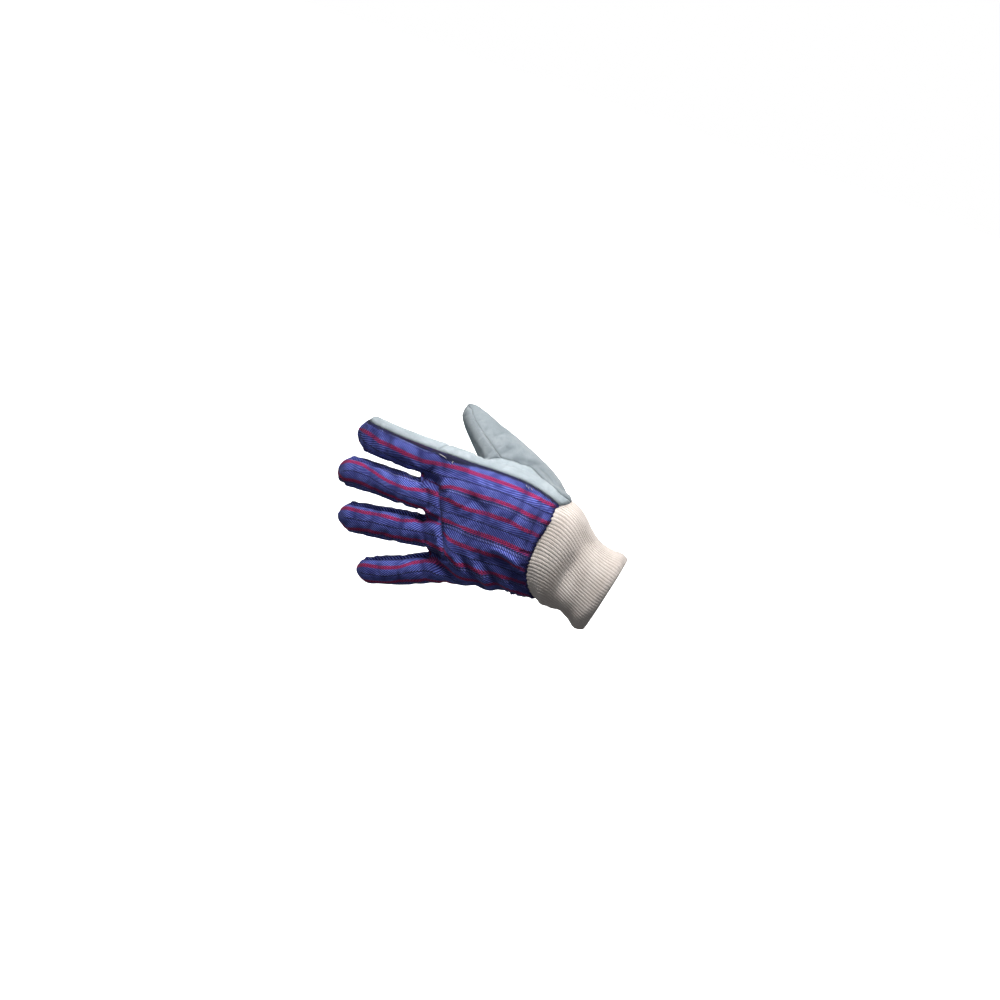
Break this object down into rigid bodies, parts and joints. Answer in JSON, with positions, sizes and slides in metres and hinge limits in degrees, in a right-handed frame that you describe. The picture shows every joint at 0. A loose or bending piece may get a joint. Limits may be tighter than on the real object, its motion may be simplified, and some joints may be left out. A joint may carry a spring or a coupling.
{
  "type": "leather work glove",
  "caption": "Left work glove in its worn shape: leather palm, thumb and index finger, striped cotton back and a ribbed knit wrist, hollow from the wrist to the finger ends.",
  "frame": {"origin": "centre of the wrist opening, at the free end of the knit wrist", "axes": "-X along the hand to the fingertips, +Z to the thumb side, -Y out of the back of the hand"},
  "size_m": [0.2665, 0.0766, 0.1801],
  "materials": {
    "leather": "pale grey suede split leather",
    "cotton": "blue-violet cotton twill with crimson and black stripes",
    "knit": "cream ribbed knit"
  },
  "bodies": {
    "root": {"back_panel": "cotton", "knuckle_panel": "cotton", "strip_index_middle": "cotton", "strip_middle_ring": "cotton", "strip_ring_little": "cotton", "leather_palm": "leather", "leather_index": "leather", "leather_thumb_back": "leather", "leather_thumb_front": "leather", "knit_wrist": "knit"}
  },
  "joints": []
}
